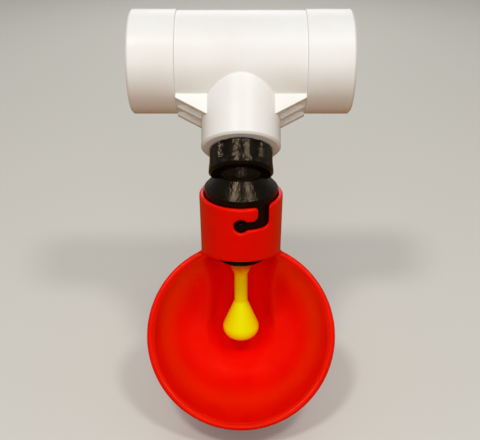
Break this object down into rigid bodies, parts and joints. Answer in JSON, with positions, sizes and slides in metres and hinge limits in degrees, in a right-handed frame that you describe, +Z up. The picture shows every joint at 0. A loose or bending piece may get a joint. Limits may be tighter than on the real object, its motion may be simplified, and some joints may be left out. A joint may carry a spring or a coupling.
{
  "type": "poultry drinking cup",
  "caption": "Round red drinking bowl twist-locked on a black elbow valve with a yellow teardrop trigger, screwed into a white pipe tee for a water line.",
  "frame": {"origin": "where the axis of the pipe line crosses the axis of the tee's branch", "axes": "+X along the pipe line, -Y to the front where the bird drinks, +Z up with the valve's barrel upright"},
  "size_m": [0.088, 0.1019, 0.1457],
  "materials": {
    "white_pvc": "smooth moulded PVC",
    "black_plastic": "scuffed gloss",
    "black_rubber": "matt",
    "spring_steel": "drawn stainless wire",
    "inner_plastic": "natural acetal",
    "yellow_plastic": "smooth moulded",
    "red_plastic": "smooth moulded"
  },
  "bodies": {
    "fitting": {"pipe_tee": "white_pvc", "valve_body": "black_plastic", "seat_retainer": "black_plastic", "seat_ring": "black_rubber", "collar_o_ring": "black_rubber", "valve_spring": "spring_steel"},
    "cap": {"spring_cap": "inner_plastic"},
    "trigger": {"trigger": "yellow_plastic", "poppet": "inner_plastic"},
    "cup": {"drinking_cup": "red_plastic"}
  },
  "joints": [
    {"name": "trigger_fore_aft", "type": "hinge", "parent": "fitting", "child": "cap", "pos_m": [0, -0.0338, -0.0634], "axis": [1, 0, 0], "range_deg": [-8, 3], "stiffness_Nm_per_rad": 0.1, "deforming": ["valve_spring", "seat_ring"]},
    {"name": "trigger_sideways", "type": "hinge", "parent": "cap", "child": "trigger", "pos_m": [0, -0.0338, -0.0634], "axis": [0, 1, 0], "range_deg": [-4, 4], "stiffness_Nm_per_rad": 0.1},
    {"name": "cup_twist", "type": "hinge", "parent": "fitting", "child": "cup", "pos_m": [0, -0.0338, -0.0538], "axis": [0, 0, 1], "range_deg": [-32, 0]}
  ]
}
